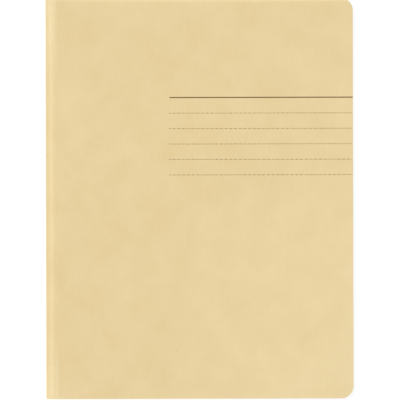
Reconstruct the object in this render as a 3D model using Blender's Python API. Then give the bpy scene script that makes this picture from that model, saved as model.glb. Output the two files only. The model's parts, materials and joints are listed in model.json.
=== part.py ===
# Three-flap folder for A4 papers: one die-cut sheet of manila card, creased and folded shut.
# It lies on its back cover. X runs from the folded spine to the fore-edge, Y from foot to head, Z up.
# The origin is under the middle of the closed folder. Each panel between two creases is one object,
# and an empty on each crease carries the panels that turn about it. The front half of the spine
# turns about the fold edge, and each narrow strip is carried by its wide one.

import math

import bmesh
import bpy
from mathutils import Vector

# The card, in metres
card = 0.00032  # thickness of 250 g/m2 manila card
layer_gap = 0.0003  # air between two layers of the closed folder
crease_gap = 0.0003  # between two panels across an open crease
crease_round = 0.00008  # pressed edge of a panel along its crease
fold_inner_gap = 0.0002  # between the two innermost spine strips at the fold edge

# The front cover
cover_width = 0.245  # fold edge of the spine to the fore-edge
cover_height = 0.320
cover_corner_radius = 0.010

# The spine, from the fold edge inwards on both sides
spine_narrow_width = 0.0024
spine_wide_width = 0.0061
narrow_rise = 0.00008  # of a narrow strip, from its inner crease to the fold edge

# The back cover, seen against the front cover
end_fold_inset = 0.001  # the head and foot folds lie this far inside the front cover
fore_edge_inset = 0.0015
corner_relief_width = 0.0055  # slanted cut between two neighbouring folds
corner_relief_height = 0.015
corner_relief_radius = 0.002

# The three flaps
flap_crease_width = 0.0085  # from a flap's fold to its second crease
flap_start = 0.004  # from the outer spine crease to the head and foot folds
flap_end_relief = 0.0007  # a flap's root is this much shorter than its fold, at each end
top_flap_depth = 0.075
bottom_flap_depth = 0.075
flap_spine_angle = math.radians(39.0)  # how far the flap's side at the spine leans in
flap_fore_angle = math.radians(42.4)  # the same at the fore-edge, where the side flap lies over it
flap_corner_radius = 0.014
side_flap_depth = 0.105
side_flap_angle = math.radians(5.0)
side_flap_corner_radius = 0.016

corner_segments = 12  # flat facets in a rounded corner
crease_segments = 2  # and in the pressed edge of a crease
fillet_limit = 0.49  # share of a side that the rounding of one corner may take
axis_arrow = 0.02  # drawn length of a crease axis
card_colour = (0.815, 0.651, 0.361, 1.0)
card_roughness = 0.78
tiny = 1e-7  # metres; closer than this is the same place

# Places that follow from the sizes above
half_gap = crease_gap / 2
layer_step = card + layer_gap
closed_thickness = card + 3 * layer_step
fold_edge_z = closed_thickness / 2
wide_rise = fold_edge_z - fold_inner_gap / 2 - card - narrow_rise  # of a wide strip, from its outer crease
fold_edge_x = -cover_width / 2
inner_crease_x = fold_edge_x + spine_narrow_width
outer_crease_x = inner_crease_x + spine_wide_width
fore_edge_x = fold_edge_x + cover_width
foot_y = -cover_height / 2
head_y = foot_y + cover_height
back_fore_x = fore_edge_x - fore_edge_inset
back_foot_y = foot_y + end_fold_inset
back_head_y = head_y - end_fold_inset
flap_spine_x = outer_crease_x + flap_start
flap_fore_x = back_fore_x - corner_relief_width


# Corners are (x, y, radius). Each rounded one becomes an arc that touches both its sides.
def rounded_outline(corners):
    points = []
    for index, (x, y, radius) in enumerate(corners):
        corner = Vector((x, y))
        if radius < tiny:
            points.append(corner)
            continue
        before = Vector(corners[index - 1][:2]) - corner
        after = Vector(corners[(index + 1) % len(corners)][:2]) - corner
        opening = before.angle(after)
        shorter_side = min(before.length, after.length)
        reach = min(radius / math.tan(opening / 2), fillet_limit * shorter_side)
        fitted = reach * math.tan(opening / 2)
        middle = corner + (before.normalized() + after.normalized()).normalized() * (
            fitted / math.sin(opening / 2)
        )
        start = corner + before.normalized() * reach - middle
        turn = start.angle_signed(corner + after.normalized() * reach - middle)
        for step in range(corner_segments + 1):
            angle = -turn * step / corner_segments
            cos, sin = math.cos(angle), math.sin(angle)
            points.append(middle + Vector((start.x * cos - start.y * sin, start.x * sin + start.y * cos)))
    return points


# Rounds the two long edges of a panel where it was pressed into a crease.
# A crease is ("x", place) or ("y", place) in the panel's own frame.
def press_creases(panel_mesh, creases):
    edges = []
    for edge in panel_mesh.edges:
        one, other = (vertex.co for vertex in edge.verts)
        level = abs(one.z - other.z) < tiny
        for axis, place in creases:
            on_crease = abs(getattr(one, axis) - place) < tiny and abs(getattr(other, axis) - place) < tiny
            if level and on_crease:
                edges.append(edge)
    bmesh.ops.bevel(
        panel_mesh, geom=edges, offset=crease_round, offset_type="OFFSET", segments=crease_segments,
        profile=0.5, affect="EDGES",
    )


def card_material(name):
    material = bpy.data.materials.new(name + "_card")
    material.use_nodes = True
    shader = material.node_tree.nodes["Principled BSDF"]
    shader.inputs["Base Color"].default_value = card_colour
    shader.inputs["Roughness"].default_value = card_roughness
    shader.inputs["Metallic"].default_value = 0.0
    material.diffuse_color = card_colour
    return material


# A crease that turns: an empty on its axis, which another crease may carry.
# Its place is given from the folder's origin, and kept for the creases that it carries.
crease_places = {}


def crease_axis(name, x, y, z, carrier=None):
    axis = bpy.data.objects.new(name, None)
    axis.empty_display_type = "SINGLE_ARROW"
    axis.empty_display_size = axis_arrow
    bpy.context.collection.objects.link(axis)
    crease_places[name] = Vector((x, y, z))
    axis.location = crease_places[name]
    if carrier is not None:
        axis.parent = carrier
        axis.location -= crease_places[carrier.name]
    return axis


# A panel of card, cut to the outline and standing one card's thickness above its underside.
# The corners and the underside are measured from the crease axis that carries the panel.
def card_panel(name, corners, underside, creases=(), carrier=None, tilt=0.0):
    panel_mesh = bmesh.new()
    outline = [panel_mesh.verts.new((point.x, point.y, underside)) for point in rounded_outline(corners)]
    sheet = panel_mesh.faces.new(outline)
    grown = bmesh.ops.extrude_face_region(panel_mesh, geom=[sheet])
    upper = [item for item in grown["geom"] if isinstance(item, bmesh.types.BMVert)]
    bmesh.ops.translate(panel_mesh, verts=upper, vec=(0.0, 0.0, card))
    press_creases(panel_mesh, creases)
    bmesh.ops.recalc_face_normals(panel_mesh, faces=panel_mesh.faces)
    mesh = bpy.data.meshes.new(name)
    panel_mesh.to_mesh(mesh)
    panel_mesh.free()
    mesh.materials.append(card_material(name))
    panel = bpy.data.objects.new(name, mesh)
    panel.parent = carrier
    panel.rotation_euler.y = tilt
    bpy.context.collection.objects.link(panel)
    return panel


# The back cover, with a slanted relief where the head and foot folds meet the fore-edge fold.
def back_cover():
    spine_x = outer_crease_x + half_gap
    corners = [
        (spine_x, back_foot_y, 0.0),
        (flap_fore_x, back_foot_y, corner_relief_radius),
        (back_fore_x, back_foot_y + corner_relief_height, corner_relief_radius),
        (back_fore_x, back_head_y - corner_relief_height, corner_relief_radius),
        (flap_fore_x, back_head_y, corner_relief_radius),
        (spine_x, back_head_y, 0.0),
    ]
    card_panel("back_cover", corners, 0.0, [("x", spine_x)])


# A strip of the spine between two creases, with half a crease's gap left at both ends.
# It runs from its own crease towards the fold edge (length below zero) or away from it.
def spine_strip(name, axis, length, low_y, high_y, underside, tilt):
    side = math.copysign(half_gap, length)
    near, far = side, length - side
    corners = [(near, low_y, 0.0), (far, low_y, 0.0), (far, high_y, 0.0), (near, high_y, 0.0)]
    return card_panel(name, corners, underside, [("x", near), ("x", far)], axis, tilt)


# The fold edge sinks as the back half of the spine flattens, so the fold turns about a place between
# its height in the closed folder and in the open one. That lays the front half down beside the back half.
def fold_axis_height(wide_slope):
    outer_face = closed_thickness - wide_rise
    drop = outer_face * math.cos(wide_slope) - spine_narrow_width * math.sin(wide_slope)
    return drop / (1 + math.cos(wide_slope))


# The spine: two strips on the back, the fold edge, and their mirror image on the front.
# Their inner faces follow one line that rises from the back cover to the fold edge.
def spine():
    wide_slope = math.atan2(wide_rise, spine_wide_width)
    narrow_slope = math.atan2(narrow_rise, spine_narrow_width)
    wide_length = math.hypot(wide_rise, spine_wide_width)
    narrow_length = math.hypot(narrow_rise, spine_narrow_width)
    back = (back_foot_y, back_head_y)
    front = (foot_y, head_y)

    back_outer = crease_axis("back_outer_crease", outer_crease_x, 0.0, card)
    spine_strip("spine_back_wide", back_outer, -wide_length, *back, -card, wide_slope)

    back_inner_z = card + wide_rise
    back_inner = crease_axis("back_inner_crease", inner_crease_x, 0.0, back_inner_z, back_outer)
    spine_strip("spine_back_narrow", back_inner, -narrow_length, *back, -card, narrow_slope)

    fold = crease_axis("spine_fold", fold_edge_x, 0.0, fold_axis_height(wide_slope))
    front_inner_z = closed_thickness - card - wide_rise
    front_inner = crease_axis("front_inner_crease", inner_crease_x, 0.0, front_inner_z, fold)
    front_wide = spine_strip("spine_front_wide", fold, wide_length, *front, 0.0, -wide_slope)
    front_wide.location = front_inner.location
    spine_strip("spine_front_narrow", front_inner, -narrow_length, *front, 0.0, -narrow_slope)
    return fold


# The front cover turns on an axis just above its own face, so that it clears the spine when laid back.
def front_cover(carrier):
    axis_z = closed_thickness + half_gap
    axis = crease_axis("cover_crease", outer_crease_x, 0.0, axis_z, carrier)
    width = fore_edge_x - outer_crease_x
    corners = [
        (half_gap, foot_y, 0.0),
        (width, foot_y, cover_corner_radius),
        (width, head_y, cover_corner_radius),
        (half_gap, head_y, 0.0),
    ]
    card_panel("front_cover", corners, -half_gap - card, [("x", half_gap)], axis)


# One flap in two panels: the strip between its fold and its second crease, and the flap proper.
# It folds down from level underside, its root runs from start to end along the fold, and its
# two sides lean in by the two angles. Along and inward are directions in the closed folder.
def flap(name, axis, underside, depth, start, end, angles, radius, along, inward):
    def corner(run, reach, rounding=0.0):
        point = along * run + inward * reach
        return (point.x, point.y, rounding)

    def sides(reach, rounding=0.0):
        near = start + reach * math.tan(angles[0])
        far = end - reach * math.tan(angles[1])
        return [corner(near, reach, rounding), corner(far, reach, rounding)]

    def crease(reach):
        point = inward * reach
        return ("x", point.x) if abs(inward.x) > abs(inward.y) else ("y", point.y)

    strip_end = flap_crease_width - half_gap
    flap_root = flap_crease_width + half_gap
    strip = sides(half_gap) + sides(strip_end)[::-1]
    leaf = sides(flap_root) + sides(depth, radius)[::-1]
    card_panel(name + "_strip", strip, underside, [crease(half_gap), crease(strip_end)], axis)
    card_panel(name, leaf, underside, [crease(flap_root)], axis)


# The height of a flap's axis, so that its underside comes down level with the back cover's face.
def flap_axis_height(underside):
    return (underside + card) / 2


# The flap at the head folds down over the back cover, the one at the foot folds up.
def head_and_foot_flaps():
    underside = layer_step
    axis_z = flap_axis_height(underside)
    start = flap_spine_x + flap_end_relief
    end = flap_fore_x - flap_end_relief
    angles = (flap_spine_angle, flap_fore_angle)
    for name, fold_y, depth, inward in (
        ("top_flap", back_head_y + half_gap, top_flap_depth, Vector((0.0, -1.0))),
        ("bottom_flap", back_foot_y - half_gap, bottom_flap_depth, Vector((0.0, 1.0))),
    ):
        axis = crease_axis(name + "_fold", 0.0, fold_y, axis_z)
        flap(
            name, axis, underside - axis_z, depth, start, end, angles, flap_corner_radius,
            Vector((1.0, 0.0)), inward,
        )


# The fore-edge flap closes last, over the other two.
def side_flap():
    underside = 2 * layer_step
    axis_z = flap_axis_height(underside)
    axis = crease_axis("side_flap_fold", back_fore_x + half_gap, 0.0, axis_z)
    start = back_foot_y + corner_relief_height + flap_end_relief
    end = back_head_y - corner_relief_height - flap_end_relief
    flap(
        "side_flap", axis, underside - axis_z, side_flap_depth, start, end,
        (side_flap_angle, side_flap_angle), side_flap_corner_radius,
        Vector((0.0, 1.0)), Vector((-1.0, 0.0)),
    )


def clear_scene():
    for item in list(bpy.data.objects):
        bpy.data.objects.remove(item, do_unlink=True)


clear_scene()
back_cover()
front_cover(spine())
head_and_foot_flaps()
side_flap()
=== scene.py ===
# Three-flap folder: the finish of the manila card, its rounded folds, pressed creases and writing lines.
import json
import math
import random

import bmesh
import bpy
from mathutils import Matrix, Vector, noise


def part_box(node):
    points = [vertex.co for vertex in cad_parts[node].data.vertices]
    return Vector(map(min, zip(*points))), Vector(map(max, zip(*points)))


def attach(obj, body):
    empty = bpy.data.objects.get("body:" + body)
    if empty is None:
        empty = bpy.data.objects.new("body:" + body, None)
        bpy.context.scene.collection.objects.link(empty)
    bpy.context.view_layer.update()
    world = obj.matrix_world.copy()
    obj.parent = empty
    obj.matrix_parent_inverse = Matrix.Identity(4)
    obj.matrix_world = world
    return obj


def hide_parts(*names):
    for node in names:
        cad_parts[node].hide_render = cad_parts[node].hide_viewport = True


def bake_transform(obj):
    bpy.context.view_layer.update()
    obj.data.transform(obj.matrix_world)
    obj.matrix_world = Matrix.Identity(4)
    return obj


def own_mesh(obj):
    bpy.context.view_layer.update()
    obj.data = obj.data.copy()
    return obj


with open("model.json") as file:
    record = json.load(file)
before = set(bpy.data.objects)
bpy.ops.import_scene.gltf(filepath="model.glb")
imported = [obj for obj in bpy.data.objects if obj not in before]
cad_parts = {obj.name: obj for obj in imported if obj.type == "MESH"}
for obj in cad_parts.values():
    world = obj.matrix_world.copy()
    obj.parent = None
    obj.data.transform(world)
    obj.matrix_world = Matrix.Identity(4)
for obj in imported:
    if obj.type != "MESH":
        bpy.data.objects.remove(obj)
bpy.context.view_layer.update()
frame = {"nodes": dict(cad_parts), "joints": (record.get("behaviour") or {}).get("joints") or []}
creaseAt = {joint["name"]: Vector(joint["pos_m"]) for joint in frame["joints"]}
mm = 0.001
tiny = 1e-6  # metres; closer than this is the same place
hair = 1e-7  # metres; a slice this close to a corner goes through it


# Camera, straight above the cover
cameraSettings = {
    "sight": (0.19 * mm, -1.36 * mm),  # the point of the cover in the middle of the picture
    "distance": 3.0,
    "frameWidth": 319.38 * mm,  # what the picture spans at the cover
    "sensor": 36.0,
    "roll": -0.135,  # degrees
    "farthest": 20.0,
}


def placeCamera(s):
    data = bpy.data.cameras.new("camera")
    data.sensor_width = s["sensor"]
    data.lens = s["sensor"] * s["distance"] / s["frameWidth"]
    data.clip_end = s["farthest"]
    camera = bpy.data.objects.new("camera", data)
    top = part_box("front_cover")[1].z
    camera.location = (s["sight"][0], s["sight"][1], top + s["distance"])
    camera.rotation_euler = (0.0, 0.0, math.radians(s["roll"]))
    bpy.context.collection.objects.link(camera)
    bpy.context.scene.camera = camera


# Light: an even room, and a soft key from above the head of the folder, at the spine side
lightSettings = {
    "room": 0.42,  # share of the light that comes evenly from everywhere
    "keyFrom": (-0.80, 0.62, 0.85),  # direction towards the key
    "keySoftness": 14.0,  # degrees across
    "keyDistance": 2.0,
    "floorSize": 6.0,
    "floorTone": 0.8,
    "floorSeen": 0.12,  # how much of the shadows the white floor shows
    "floorGlow": 0.91,
    "floorDrop": 0.1 * mm,
}


def addNode(tree, kind, **values):
    node = tree.nodes.new(kind)
    for name, value in values.items():
        setattr(node, name, value)
    return node


def anyOf(tree, rays):
    path = addNode(tree, "ShaderNodeLightPath")
    total = path.outputs[rays[0]]
    for ray in rays[1:]:
        most = addNode(tree, "ShaderNodeMath", operation="MAXIMUM")
        tree.links.new(total, most.inputs[0])
        tree.links.new(path.outputs[ray], most.inputs[1])
        total = most.outputs[0]
    return total


seenRays = ("Is Camera Ray", "Is Glossy Ray", "Is Transmission Ray")


def lightTheRoom(s):
    world = bpy.data.worlds.new("room")
    bpy.context.scene.world = world
    world.use_nodes = True
    tree = world.node_tree
    tree.nodes.clear()
    light = addNode(tree, "ShaderNodeBackground")
    light.inputs["Strength"].default_value = s["room"]
    white = addNode(tree, "ShaderNodeBackground")
    mix = addNode(tree, "ShaderNodeMixShader")
    out = addNode(tree, "ShaderNodeOutputWorld")
    for background in (light, white):
        background.inputs["Color"].default_value = (1.0, 1.0, 1.0, 1.0)
    white.inputs["Strength"].default_value = 1.0
    tree.links.new(anyOf(tree, seenRays), mix.inputs[0])
    tree.links.new(light.outputs[0], mix.inputs[1])
    tree.links.new(white.outputs[0], mix.inputs[2])
    tree.links.new(mix.outputs[0], out.inputs["Surface"])

    towards = Vector(s["keyFrom"]).normalized()
    sun = bpy.data.lights.new("key", "SUN")
    sun.energy = (1.0 - s["room"]) * math.pi / towards.z
    sun.angle = math.radians(s["keySoftness"])
    key = bpy.data.objects.new("key", sun)
    key.rotation_euler = towards.to_track_quat("Z", "Y").to_euler()
    key.location = towards * s["keyDistance"]
    bpy.context.collection.objects.link(key)


def layFloor(s):
    bm = bmesh.new()
    bmesh.ops.create_grid(bm, x_segments=1, y_segments=1, size=s["floorSize"] / 2)
    bmesh.ops.translate(bm, verts=bm.verts, vec=(0.0, 0.0, -s["floorDrop"]))
    mesh = bpy.data.meshes.new("floor")
    bm.to_mesh(mesh)
    bm.free()
    floor = bpy.data.objects.new("floor", mesh)
    bpy.context.collection.objects.link(floor)

    material = bpy.data.materials.new("white_floor")
    material.use_nodes = True
    tree = material.node_tree
    tree.nodes.clear()
    ground = addNode(tree, "ShaderNodeBsdfDiffuse")
    ground.inputs["Color"].default_value = (s["floorTone"],) * 3 + (1.0,)
    seen = addNode(tree, "ShaderNodeBsdfDiffuse")
    seen.inputs["Color"].default_value = (s["floorSeen"],) * 3 + (1.0,)
    glow = addNode(tree, "ShaderNodeEmission")
    glow.inputs["Strength"].default_value = s["floorGlow"]
    both = addNode(tree, "ShaderNodeAddShader")
    mix = addNode(tree, "ShaderNodeMixShader")
    out = addNode(tree, "ShaderNodeOutputMaterial")
    tree.links.new(seen.outputs[0], both.inputs[0])
    tree.links.new(glow.outputs[0], both.inputs[1])
    tree.links.new(anyOf(tree, seenRays), mix.inputs[0])
    tree.links.new(ground.outputs[0], mix.inputs[1])
    tree.links.new(both.outputs[0], mix.inputs[2])
    tree.links.new(mix.outputs[0], out.inputs["Surface"])
    mesh.materials.append(material)


# Manila card: cloudy pulp, fibres and flecks, a fine tooth, paler where it was creased or cut, paler towards
# the fore-edge and the foot, and painted highlights on the spine and along the cover's head edge
cardSettings = {
    "shade": (0.767, 0.599, 0.313),
    "tone": (0.830, 0.660, 0.367),
    # the paler colour of rubbed card, also used for the painted highlights
    "wornAndHighlight": (0.900, 0.755, 0.475),
    "fleck": (0.560, 0.400, 0.190),
    "clouds": (42.0, 3.0, 0.55, 0.3),  # noises: scale per metre, detail, roughness and distortion
    "drift": (9.0, 1.0, 0.5, 0.0),
    "longFibres": (420.0, 4.0, 0.6, 0.0),
    "shortFibres": (420.0, 3.0, 0.6, 0.0),
    "flecks": (620.0, 2.0, 0.5, 0.8),
    "tooth": (2600.0, 2.0, 0.6, 0.0),
    "pulp": (260.0, 3.0, 0.55, 0.0),
    "longTurn": (78.0, 0.22),  # degrees that the noise is turned, and its scale from foot to head
    "shortTurn": (-24.0, 0.30),
    "fleckTurn": (35.0, 0.35),
    "shares": (0.50, 0.25, 0.15, 0.10),  # of the clouds, the drift and the two runs of fibres
    "toneRange": (0.34, 0.66),
    # mix towards the paler colour, growing towards the fore-edge and the foot
    "paleGradient": (0.0, 1.20, -0.60),  # at the middle, and per metre towards the fore-edge and the head
    "fleckRange": (0.735, 0.795),
    "fleckStrength": 0.35,
    "toothDepth": 0.018 * mm,
    "pulpDepth": 0.030 * mm,
    "pulpRange": (0.3, 0.7),
    "roughness": (0.72, 0.86),
    "specular": 0.25,
    # the first of these two also holds painted highlights on the spine and along the cover's head edge
    "creaseWear": 0.70,
    "edgeWear": 0.14,
    "wearRange": (0.35, 0.65),  # of the long fibres, which take the rubbing unevenly
    "leastWear": 0.55,
}


def noiseAt(tree, coords, scale, detail, roughness, distortion):
    node = addNode(tree, "ShaderNodeTexNoise")
    node.inputs["Scale"].default_value = scale
    node.inputs["Detail"].default_value = detail
    node.inputs["Roughness"].default_value = roughness
    node.inputs["Distortion"].default_value = distortion
    tree.links.new(coords, node.inputs["Vector"])
    return node.outputs["Fac"]


# A scale under one draws the noise out from foot to head
def drawnOut(tree, coords, turn, scale):
    mapping = addNode(tree, "ShaderNodeMapping")
    mapping.inputs["Rotation"].default_value = (0.0, 0.0, math.radians(turn))
    mapping.inputs["Scale"].default_value = (1.0, scale, 1.0)
    tree.links.new(coords, mapping.inputs["Vector"])
    return mapping.outputs["Vector"]


def weighed(tree, parts):
    total = None
    for socket, weight in parts:
        scaled = addNode(tree, "ShaderNodeMath", operation="MULTIPLY")
        scaled.inputs[1].default_value = weight
        tree.links.new(socket, scaled.inputs[0])
        if total is None:
            total = scaled.outputs[0]
            continue
        add = addNode(tree, "ShaderNodeMath", operation="ADD")
        tree.links.new(total, add.inputs[0])
        tree.links.new(scaled.outputs[0], add.inputs[1])
        total = add.outputs[0]
    return total


def spread(tree, socket, low, high, toLow=0.0, toHigh=1.0):
    node = addNode(tree, "ShaderNodeMapRange")
    for name, value in (("From Min", low), ("From Max", high), ("To Min", toLow), ("To Max", toHigh)):
        node.inputs[name].default_value = value
    tree.links.new(socket, node.inputs["Value"])
    return node.outputs["Result"]


def tinted(tree, factor, first, second):
    node = addNode(tree, "ShaderNodeMix", data_type="RGBA")
    for index, colour in ((6, first), (7, second)):
        if isinstance(colour, tuple):
            node.inputs[index].default_value = colour + (1.0,)
        else:
            tree.links.new(colour, node.inputs[index])
    tree.links.new(factor, node.inputs[0])
    return node.outputs[2]


def makeCard(s):
    material = bpy.data.materials.new("manila_card")
    material.use_nodes = True
    tree = material.node_tree
    shader = tree.nodes["Principled BSDF"]
    coords = addNode(tree, "ShaderNodeTexCoord").outputs["Object"]

    clouds = noiseAt(tree, coords, *s["clouds"])
    drift = noiseAt(tree, coords, *s["drift"])
    long = noiseAt(tree, drawnOut(tree, coords, *s["longTurn"]), *s["longFibres"])
    short = noiseAt(tree, drawnOut(tree, coords, *s["shortTurn"]), *s["shortFibres"])
    mottle = weighed(tree, zip((clouds, drift, long, short), s["shares"]))
    colour = tinted(tree, spread(tree, mottle, *s["toneRange"]), s["shade"], s["tone"])

    place = addNode(tree, "ShaderNodeSeparateXYZ")
    tree.links.new(coords, place.inputs[0])
    # paler towards the fore-edge and the foot
    middle, perX, perY = s["paleGradient"]
    paleness = weighed(tree, ((place.outputs["X"], perX), (place.outputs["Y"], perY)))
    colour = tinted(tree, spread(tree, paleness, -middle, 1.0 - middle), colour, s["wornAndHighlight"])

    specks = noiseAt(tree, drawnOut(tree, coords, *s["fleckTurn"]), *s["flecks"])
    flecks = spread(tree, specks, *s["fleckRange"], 0.0, s["fleckStrength"])
    colour = tinted(tree, flecks, colour, s["fleck"])

    # paler where rubbed; the first attribute also holds painted highlights
    for name in ("creaseWear", "edgeWear"):
        wear = addNode(tree, "ShaderNodeAttribute", attribute_name=name).outputs["Fac"]
        grain = spread(tree, long, *s["wearRange"], s["leastWear"] * s[name], s[name])
        rubbed = addNode(tree, "ShaderNodeMath", operation="MULTIPLY")
        tree.links.new(wear, rubbed.inputs[0])
        tree.links.new(grain, rubbed.inputs[1])
        colour = tinted(tree, rubbed.outputs[0], colour, s["wornAndHighlight"])
    tree.links.new(colour, shader.inputs["Base Color"])

    tooth = noiseAt(tree, coords, *s["tooth"])
    pulp = noiseAt(tree, coords, *s["pulp"])
    tree.links.new(spread(tree, pulp, *s["pulpRange"], *s["roughness"]), shader.inputs["Roughness"])
    shader.inputs["Specular IOR Level"].default_value = s["specular"]
    fine = addNode(tree, "ShaderNodeBump")
    fine.inputs["Distance"].default_value = s["toothDepth"]
    coarse = addNode(tree, "ShaderNodeBump")
    coarse.inputs["Distance"].default_value = s["pulpDepth"]
    tree.links.new(tooth, fine.inputs["Height"])
    tree.links.new(pulp, coarse.inputs["Height"])
    tree.links.new(fine.outputs["Normal"], coarse.inputs["Normal"])
    tree.links.new(coarse.outputs["Normal"], shader.inputs["Normal"])
    return material


# Brown printing ink
inkSettings = {
    "dense": (0.110, 0.053, 0.006),
    "thin": (0.160, 0.086, 0.014),
    "grain": (1900.0, 3.0, 0.6, 0.0),
    "grainRange": (0.4, 0.65),
    "roughness": 0.62,
}


def makeInk(s):
    material = bpy.data.materials.new("printing_ink")
    material.use_nodes = True
    tree = material.node_tree
    shader = tree.nodes["Principled BSDF"]
    coords = addNode(tree, "ShaderNodeTexCoord").outputs["Object"]
    grain = noiseAt(tree, coords, *s["grain"])
    colour = tinted(tree, spread(tree, grain, *s["grainRange"]), s["dense"], s["thin"])
    tree.links.new(colour, shader.inputs["Base Color"])
    shader.inputs["Roughness"].default_value = s["roughness"]
    return material


# Sheets of card, shaped from the panels of the frame
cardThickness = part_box("back_cover")[1].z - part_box("back_cover")[0].z
sheetSettings = {
    "flatAngle": 2.0,  # degrees; flatter joins of two faces are merged
    "cutAngle": 60.0,  # sharper edges are cut edges
    "cutRadius": 0.05 * mm,  # softening of a cut edge
    "cutSteps": 2,
    "holdLoop": 0.03 * mm,  # keeps the flat faces flat beside a soft edge
    "cornerReach": 0.1 * mm,  # how far in the rounded corners of a side reach
    "edgeBand": 1.2 * mm,  # width of the rubbed band along an edge
    "bandShare": 0.28,  # of a narrow strip
    "cell": 8.0 * mm,  # spacing of the slices that let a sheet bend
    "smoothAngle": 40.0,
}
sideAxes = {"left": ("x", -1), "right": ("x", 1), "foot": ("y", -1), "head": ("y", 1)}


def sheetFrom(node, s):
    bm = bmesh.new()
    bm.from_mesh(frame["nodes"][node].data)
    bmesh.ops.remove_doubles(bm, verts=bm.verts, dist=tiny)
    bmesh.ops.dissolve_limit(bm, angle_limit=math.radians(s["flatAngle"]), verts=bm.verts, edges=bm.edges)
    return bm


def sideLimit(places, side):
    axis, sign = sideAxes[side]
    return axis, sign, max(sign * getattr(place, axis) for place in places)


def onSide(place, limit, within):
    axis, sign, farthest = limit
    return sign * getattr(place, axis) > farthest - within


def endsOf(bm, axis):
    values = [getattr(vert.co, axis) for vert in bm.verts]
    return min(values), max(values)


def spanOf(bm, axis):
    low, high = endsOf(bm, axis)
    return high - low


# Rounds the cut edges. A side that goes on into a fold keeps its corners and isn't rubbed.
def softenCuts(bm, folds, s):
    edgeWear = bm.verts.layers.float.new("edgeWear")
    limits = [sideLimit([vert.co for vert in bm.verts], side) for side in folds]
    broad = sorted(bm.faces, key=lambda face: face.calc_area())[-2:]
    hold = s["cutRadius"] + s["holdLoop"]
    band = min(s["edgeBand"], s["bandShare"] * min(spanOf(bm, "x"), spanOf(bm, "y")))
    bmesh.ops.inset_individual(bm, faces=broad, thickness=hold, use_even_offset=True)
    bmesh.ops.inset_individual(bm, faces=broad, thickness=band, use_even_offset=True)
    inner = {vert for face in broad for vert in face.verts}
    cuts = [
        edge for edge in bm.edges
        if len(edge.link_faces) == 2 and edge.calc_face_angle() > math.radians(s["cutAngle"])
        and not any(all(onSide(vert.co, limit, s["cornerReach"]) for vert in edge.verts) for limit in limits)
    ]
    bmesh.ops.bevel(
        bm, geom=cuts, offset=s["cutRadius"], offset_type="OFFSET", segments=s["cutSteps"], profile=0.5,
        affect="EDGES", material=-1,
    )
    for vert in bm.verts:
        nearFold = any(onSide(vert.co, limit, band + 2 * hold) for limit in limits)
        vert[edgeWear] = 0.0 if vert in inner or nearFold else 1.0


def sliceAt(bm, axis, places):
    normal = Vector((1, 0, 0)) if axis == "x" else Vector((0, 1, 0))
    for place in places:
        everything = bm.verts[:] + bm.edges[:] + bm.faces[:]
        bmesh.ops.bisect_plane(bm, geom=everything, dist=hair, plane_co=normal * place, plane_no=normal)


def sliceSheet(bm, axis, cell):
    low, high = endsOf(bm, axis)
    count = max(1, round((high - low) / cell))
    sliceAt(bm, axis, [low + (high - low) * step / count for step in range(1, count)])


def makePiece(name, bm, material, s=sheetSettings):
    mesh = bpy.data.meshes.new(name)
    bm.normal_update()
    bm.to_mesh(mesh)
    bm.free()
    mesh.materials.append(material)
    mesh.polygons.foreach_set("material_index", [0] * len(mesh.polygons))
    mesh.shade_smooth()
    mesh.set_sharp_from_angle(angle=math.radians(s["smoothAngle"]))
    piece = bpy.data.objects.new(name, mesh)
    bpy.context.collection.objects.link(piece)
    return piece


def eased(value):
    value = min(1.0, max(0.0, value))
    return value * value * (3 - 2 * value)


# Long, low waves of card that has lain in a drawer; none along its creases
waveSettings = {
    "length": 90.0 * mm,
    "cover": 0.11 * mm,  # heights of the waves
    "flap": 0.05 * mm,
    "calm": 28.0 * mm,  # distance from the crease over which the waves grow
    "coverSeed": 3.7,
    "flapSeed": 8.2,
    "flapRoot": 9.0 * mm,  # from a flap's fold to its second crease
}


def waveHeight(x, y, height, fromCrease, seed, s=waveSettings):
    wave = noise.noise(Vector((x / s["length"], y / s["length"], seed)))
    return height * eased(fromCrease / s["calm"]) * wave


# Paler tones on the spine: rubbed by hands at its ends, crease wear and a painted highlight beside its inner
# crease, and a painted highlight band from the fold edge to a little beyond the inner crease
rubAndHighlightSettings = {
    "head": (90.0 * mm, 40.0 * mm, 0.52),  # where the rubbed end starts, over what it grows and to what
    "foot": (105.0 * mm, 35.0 * mm, 0.40),
    # the pale line is partly crease wear and partly painted highlight
    "line": 1.3 * mm,  # reach of the pale line beside the inner crease
    "lineWearAndHighlight": 0.16,
    "lineAtHead": 0.9,
    "lineAtFoot": 0.5,
    # painted highlight: the spine is paler up to a little beyond the inner crease, where the wide strip rises
    # towards the key
    "band": (3.8 * mm, 1.6 * mm, 0.14),  # the faint band on a wide strip: its reach, soft end and wear
    "coverLine": (118.0 * mm, 16.0 * mm, 1.0),  # the pale line on the cover crease, only near the foot
    "coverLineHalf": 0.38 * mm,
    "coverLineCore": 0.5,  # share of the half that is evenly pale
    "coverLineSlices": (0.5, 1.0, 1.5, 2.0),  # in halves, from the crease into the cover
}


def endWear(y, end):
    start, growth, most = end
    return most * eased((y - start) / growth)


def spineWearAndHighlight(x, y, s=rubAndHighlightSettings):
    head, foot = endWear(y, s["head"]), endWear(-y, s["foot"])
    across = x - creaseAt["front_inner_crease"].x
    beside = 1.0 - eased(abs(across) / s["line"])
    # painted highlight band up to a little beyond the inner crease
    reach, softEnd, most = s["band"]
    band = most * (1.0 - eased((across - reach + softEnd) / softEnd))
    # crease wear with a painted highlight beside the inner crease, growing towards the ends
    line = beside * (s["lineWearAndHighlight"] + s["lineAtHead"] * head + s["lineAtFoot"] * foot)
    # the painted highlight along the head edge reaches the spine too
    return head + foot + band + line + outerCreaseWear(x, y) + headHighlight(y)


def outerCreaseWear(x, y, s=rubAndHighlightSettings):
    away = abs(x - creaseAt["cover_crease"].x) / s["coverLineHalf"]
    return endWear(-y, s["coverLine"]) * (1.0 - eased(away - s["coverLineCore"]))


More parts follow.
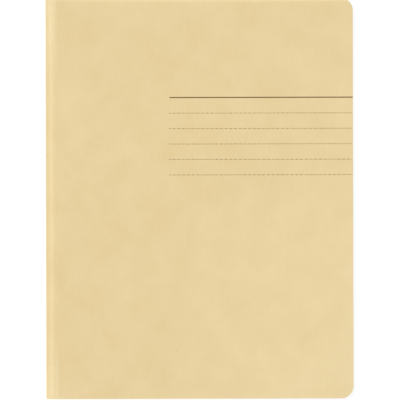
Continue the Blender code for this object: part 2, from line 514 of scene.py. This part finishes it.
# The head edge of the cover bends down a little and has a painted highlight along it, which the spine's head
# has too
headSettings = {
    "width": 3.0 * mm,
    "drop": 0.33 * mm,
    # strength of the painted highlight along the head edge, and how fast it sets in
    "wear": 0.52,
    "start": 0.3 * mm,  # how fast the paler tone sets in
}
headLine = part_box("front_cover")[1].y - headSettings["width"]
headSlices = [headLine, headLine + headSettings["start"], headLine + headSettings["width"] / 2]


def headShare(y, s=headSettings):
    return max(0.0, (y - headLine) / s["width"])


# painted highlight along the head edge
def headHighlight(y, s=headSettings):
    return s["wear"] * eased(headShare(y) * s["width"] / s["start"])


def coverWave(x, y, s=waveSettings):
    return waveHeight(x, y, s["cover"], x - creaseAt["cover_crease"].x, s["coverSeed"])


def coverShape(x, y, s=headSettings):
    away = eased((x - creaseAt["cover_crease"].x) / waveSettings["calm"])
    return coverWave(x, y) - s["drop"] * headShare(y) * away


# painted highlight at the head, and the pale line on the cover crease
def coverWearAndHighlight(x, y):
    return headHighlight(y) + outerCreaseWear(x, y)


def flapWave(flap, s=waveSettings):
    crease = creaseAt[flap + "_fold"]

    def height(x, y):
        fromFold = abs(x - crease.x) if flap == "side_flap" else abs(y - crease.y)
        return waveHeight(x, y, s["flap"], fromFold - s["flapRoot"], s["flapSeed"])

    return height


def wearBy(bm, wear):
    layer = bm.verts.layers.float.new("creaseWear")
    for vert in bm.verts:
        vert[layer] = min(1.0, wear(vert.co.x, vert.co.y))


def panel(name, body, node, folds, shape=None, wear=None, cellAcross=None, slices=None, s=sheetSettings):
    bm = sheetFrom(node, s)
    softenCuts(bm, folds, s)
    sliceSheet(bm, "x", cellAcross or s["cell"])
    sliceSheet(bm, "y", s["cell"])
    for axis, places in (slices or {}).items():
        sliceAt(bm, axis, places)
    if wear:
        wearBy(bm, wear)
    if shape:
        for vert in bm.verts:
            vert.co.z += shape(vert.co.x, vert.co.y)
    piece = makePiece(name, bm, card)
    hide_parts(node)
    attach(piece, body)


# A fold or a crease grows from one cross-section of the card: straight runs and turns
def startSection(bm, corners):
    return bm.faces.new([bm.verts.new(corner) for corner in corners])


def growSheet(bm, face):
    grown = bmesh.ops.extrude_face_region(bm, geom=[face])
    if any(len(edge.link_faces) > 2 for edge in face.edges):
        bmesh.ops.delete(bm, geom=[face], context="FACES_ONLY")
    return [item for item in grown["geom"] if isinstance(item, bmesh.types.BMFace)][0]


def runSheet(bm, face, reach, steps=1):
    for _ in range(steps):
        face = growSheet(bm, face)
        bmesh.ops.translate(bm, verts=face.verts, vec=Vector(reach) / steps)
    return face


def turnSheet(bm, face, centre, axis, angle, steps):
    turn = Matrix.Rotation(angle / steps, 3, axis)
    for _ in range(steps):
        face = growSheet(bm, face)
        bmesh.ops.rotate(bm, verts=face.verts, cent=centre, matrix=turn)
    return face


creaseSettings = {
    "sunk": 0.06 * mm,
    "steps": 12,
    "shorter": 0.02 * mm,  # at each end than its panels, so that no two faces coincide
}


def finishCrease(name, bm, along, wear):
    bmesh.ops.recalc_face_normals(bm, faces=bm.faces)
    sliceSheet(bm, along, sheetSettings["cell"])
    if along == "y":
        sliceAt(bm, "y", headSlices)
    wearBy(bm, wear)
    share = 1.0 - 2 * creaseSettings["shorter"] / spanOf(bm, along)
    bmesh.ops.scale(bm, verts=bm.verts, vec=(1.0, share, 1.0) if along == "y" else (share, 1.0, 1.0))
    return makePiece(name, bm, card)


# Where the flat faces of a panel end at one side: two corners on the lower face, two on the upper
def sideCorners(node, side):
    places = [vert.co for vert in frame["nodes"][node].data.vertices]
    limit = sideLimit(places, side)
    near = [place for place in places if onSide(place, limit, sheetSettings["cornerReach"])]
    lowest, highest = min(near, key=lambda co: co.z), max(near, key=lambda co: co.z)
    runs = [place.y if limit[0] == "x" else place.x for place in near]
    start, end = min(runs), max(runs)
    order = ((lowest, start), (lowest, end), (highest, end), (highest, start))
    if limit[0] == "x":
        return [Vector((place.x, run, place.z)) for place, run in order]
    return [Vector((run, place.y, place.z)) for place, run in order]


# The pressed line between two panels, flush or sunk on the side where it was pressed in
def creaseBar(name, first, second, sunk, wear, s=creaseSettings):
    begin, finish = sideCorners(*first), sideCorners(*second)

    def section(share):
        dip = Vector((0, 0, sunk * (0.5 - 0.5 * math.cos(2 * math.pi * share))))
        return [a.lerp(b, share) - dip for a, b in zip(begin, finish)]

    bm = bmesh.new()
    here = section(0)
    face = startSection(bm, here)
    for step in range(1, s["steps"] + 1):
        face = growSheet(bm, face)
        there = section(step / s["steps"])
        for vert in face.verts:
            nearest = min(range(4), key=lambda index: (here[index] - vert.co).length)
            vert.co = there[nearest]
        here = there
    return finishCrease(name, bm, "y" if first[1] in ("left", "right") else "x", wear)


def bendCrease(piece, bodyA, bodyB, first, second):
    begin, finish = sideCorners(*first), sideCorners(*second)
    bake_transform(piece)


# The turn of a flap: card that leaves one panel, goes round the crease and comes back over it
foldSettings = {"tail": 0.23 * mm, "steps": 20, "wear": 0.55}


def flapFold(name, crease, outward, low, high, s=foldSettings):
    centre = creaseAt[crease]
    along = Vector((0, 1, 0)) if outward.x else Vector((1, 0, 0))
    bm = bmesh.new()
    edge = outward * (centre.dot(outward) - s["tail"])
    corners = [
        edge + along * run + Vector((0, 0, height))
        for run, height in ((low, 0), (high, 0), (high, cardThickness), (low, cardThickness))
    ]
    face = runSheet(bm, startSection(bm, corners), outward * s["tail"])
    face = turnSheet(bm, face, centre, outward.cross(Vector((0, 0, 1))), math.pi, s["steps"])
    runSheet(bm, face, -outward * s["tail"])
    piece = finishCrease(name, bm, "y" if outward.x else "x", lambda x, y: s["wear"])
    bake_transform(piece)


print("camera, light and floor")
placeCamera(cameraSettings)
lightTheRoom(lightSettings)
layFloor(lightSettings)
bpy.context.scene.view_settings.view_transform = "Standard"
card = makeCard(cardSettings)
ink = makeInk(inkSettings)

print("covers")
lineSlices = [
    creaseAt["cover_crease"].x + rubAndHighlightSettings["coverLineHalf"] * share
    for share in rubAndHighlightSettings["coverLineSlices"]
]
panel("front_panel", "cover", "front_cover", ("left",), coverShape, coverWearAndHighlight,
      slices={"x": lineSlices, "y": headSlices})
panel("back_panel", "back", "back_cover", ("left", "right", "foot", "head"))

print("spine")
spineSettings = {
    "steepUntil": 0.35,  # share of a wide strip that rises evenly from the inner crease
    "easing": 0.45,  # share over which it levels out
    "lastSlope": 0.15,  # against its mean slope
    "cell": 0.5 * mm,
    "foldInner": 0.1 * mm,  # radius inside the fold edge
    "foldSteps": 8,
    "foldKeep": 0.25,  # of its depth, when the fold is pressed flat
}


# A wide strip bows: steep from the inner crease, level towards the cover
def raised(node, side, s=spineSettings):
    low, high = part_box(node)
    rise = high.z - low.z - cardThickness
    steep = (1 - s["lastSlope"]) / (s["steepUntil"] + s["easing"] / 2)

    def height(x, y):
        along = min(1.0, max(0.0, (x - low.x) / (high.x - low.x)))
        into = min(1.0, max(0.0, (along - s["steepUntil"]) / s["easing"]))
        levelled = s["easing"] * (into ** 3 - into ** 4 / 2) + max(0.0, along - s["steepUntil"] - s["easing"])
        return side * rise * (s["lastSlope"] * along + steep * (along - levelled) - along)

    return height


def foldEdge(half, side, low, high, s=spineSettings):
    middle = Vector((creaseAt["spine_fold"].x, 0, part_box("front_cover")[1].z / 2))
    near = middle.z + side * s["foldInner"]
    far = near + side * cardThickness
    bm = bmesh.new()
    section = startSection(bm, [
        (low.x, y, z) for y, z in ((low.y, near), (high.y, near), (high.y, far), (low.y, far))
    ])
    section = runSheet(bm, section, (middle.x - low.x, 0, 0))
    turnSheet(bm, section, middle, "Y", -side * math.pi / 2, s["foldSteps"])
    return finishCrease("spine_" + half + "_fold_edge", bm, "y", spineWearAndHighlight)


for side, half in ((1, "front"), (-1, "back")):
    wide, narrow = "spine_" + half + "_wide", "spine_" + half + "_narrow"
    outerStrip, innerStrip = half + "_outer_strip", half + "_inner_strip"
    for strip, node, shape in ((outerStrip, wide, raised(wide, side)), (innerStrip, narrow, None)):
        panel("spine_" + strip, strip, node, ("left", "right"), shape, spineWearAndHighlight,
              spineSettings["cell"], {"y": headSlices})
    cover, coverBody = ("front_cover", "cover") if side > 0 else ("back_cover", "back")
    pressed = creaseSettings["sunk"]
    for crease, first, second, bodies, sunk, wear in (
        ("inner", (narrow, "right"), (wide, "left"), (innerStrip, outerStrip), pressed, spineWearAndHighlight),
        ("outer", (wide, "right"), (cover, "left"), (outerStrip, coverBody), 0.0, outerCreaseWear),
    ):
        bar = creaseBar("spine_" + half + "_" + crease + "_crease", first, second, side * sunk, wear)
        bendCrease(bar, *bodies, first, second)
    low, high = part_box(narrow)
    low.x = sideCorners(narrow, "left")[0].x
    edge = foldEdge(half, side, low, high)
    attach(edge, innerStrip)
    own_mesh(edge)

print("flaps")
flapSettings = {"secondWear": 0.35}
for flap, body, outward in (
    ("top_flap", "top_leaf", Vector((0, 1, 0))),
    ("bottom_flap", "bottom_leaf", Vector((0, -1, 0))),
    ("side_flap", "side_leaf", Vector((1, 0, 0))),
):
    along = "y" if outward.x else "x"
    bothSides = ("left", "right") if outward.x else ("foot", "head")
    rootSide = {"top_flap": "head", "bottom_flap": "foot", "side_flap": "right"}[flap]
    panel(flap + "_root", body, flap + "_strip", bothSides)
    panel(flap + "_panel", body, flap, (rootSide,), flapWave(flap))
    rootLow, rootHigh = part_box(flap + "_strip")
    flapFold(flap + "_fold", flap + "_fold", outward, getattr(rootLow, along), getattr(rootHigh, along))
    rootEnd = {"head": "foot", "foot": "head", "right": "left"}[rootSide]
    bar = creaseBar(flap + "_second_crease", (flap + "_strip", rootEnd), (flap, rootSide),
                    -creaseSettings["sunk"], lambda x, y: flapSettings["secondWear"])
    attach(bar, body)

print("ruled lines")
lineSettings = {
    "start": -24.0 * mm,
    "dottedStart": -23.9 * mm,
    "solidAt": 80.50 * mm,
    "firstDotted": 68.0 * mm,
    "dottedStep": 12.33 * mm,
    "dottedLines": 5,
    "width": 0.86 * mm,
    "dot": 0.58 * mm,
    "dotSpread": 0.25 * mm,  # how much more ink the darker dots took
    "darkEvery": 3.75 * mm,
    "pitch": 1.01 * mm,
    "dotSides": 8,
    "strengthRun": 12,  # dots printed with the same strength
    "proud": 0.012 * mm,
    "sunk": 0.02 * mm,
    "step": 4.0 * mm,
    "edgeGap": 0.12 * mm,
    "seed": 7,
}


def layOnCover(bm):
    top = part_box("front_cover")[1].z
    for vert in bm.verts:
        vert.co.z += top + coverWave(vert.co.x, vert.co.y)


def solidLine(s):
    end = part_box("front_cover")[1].x - s["edgeGap"]
    half = s["width"] / 2
    bm = bmesh.new()
    section = startSection(bm, [
        (s["start"], s["solidAt"] + y, z)
        for y, z in ((-half, -s["sunk"]), (half, -s["sunk"]), (half, s["proud"]), (-half, s["proud"]))
    ])
    runSheet(bm, section, (end - s["start"], 0, 0), round((end - s["start"]) / s["step"]))
    bmesh.ops.recalc_face_normals(bm, faces=bm.faces)
    layOnCover(bm)
    piece = makePiece("ruled_line", bm, ink)
    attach(piece, "cover")


def dottedLine(index, draw, s):
    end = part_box("front_cover")[1].x - s["edgeGap"] - s["dot"]
    y = s["firstDotted"] - index * s["dottedStep"]
    bm = bmesh.new()
    count = int((end - s["dottedStart"]) / s["pitch"])
    strength = 1.0
    for step in range(count + 1):
        along = step * s["pitch"]
        if step % s["strengthRun"] == 0:
            strength = draw.uniform(0.0, 1.0)
        beat = 0.5 + 0.5 * math.cos(2 * math.pi * along / s["darkEvery"])
        radius = (s["dot"] + s["dotSpread"] * strength * (2 * beat - 1)) / 2
        place = Matrix.Translation((s["dottedStart"] + along, y, (s["proud"] - s["sunk"]) / 2))
        bmesh.ops.create_cone(
            bm, cap_ends=True, segments=s["dotSides"], radius1=radius, radius2=radius,
            depth=s["proud"] + s["sunk"], matrix=place,
        )
    layOnCover(bm)
    piece = makePiece("dotted_line_" + str(index + 1), bm, ink)
    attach(piece, "cover")


draw = random.Random(lineSettings["seed"])
solidLine(lineSettings)
for index in range(lineSettings["dottedLines"]):
    dottedLine(index, draw, lineSettings)
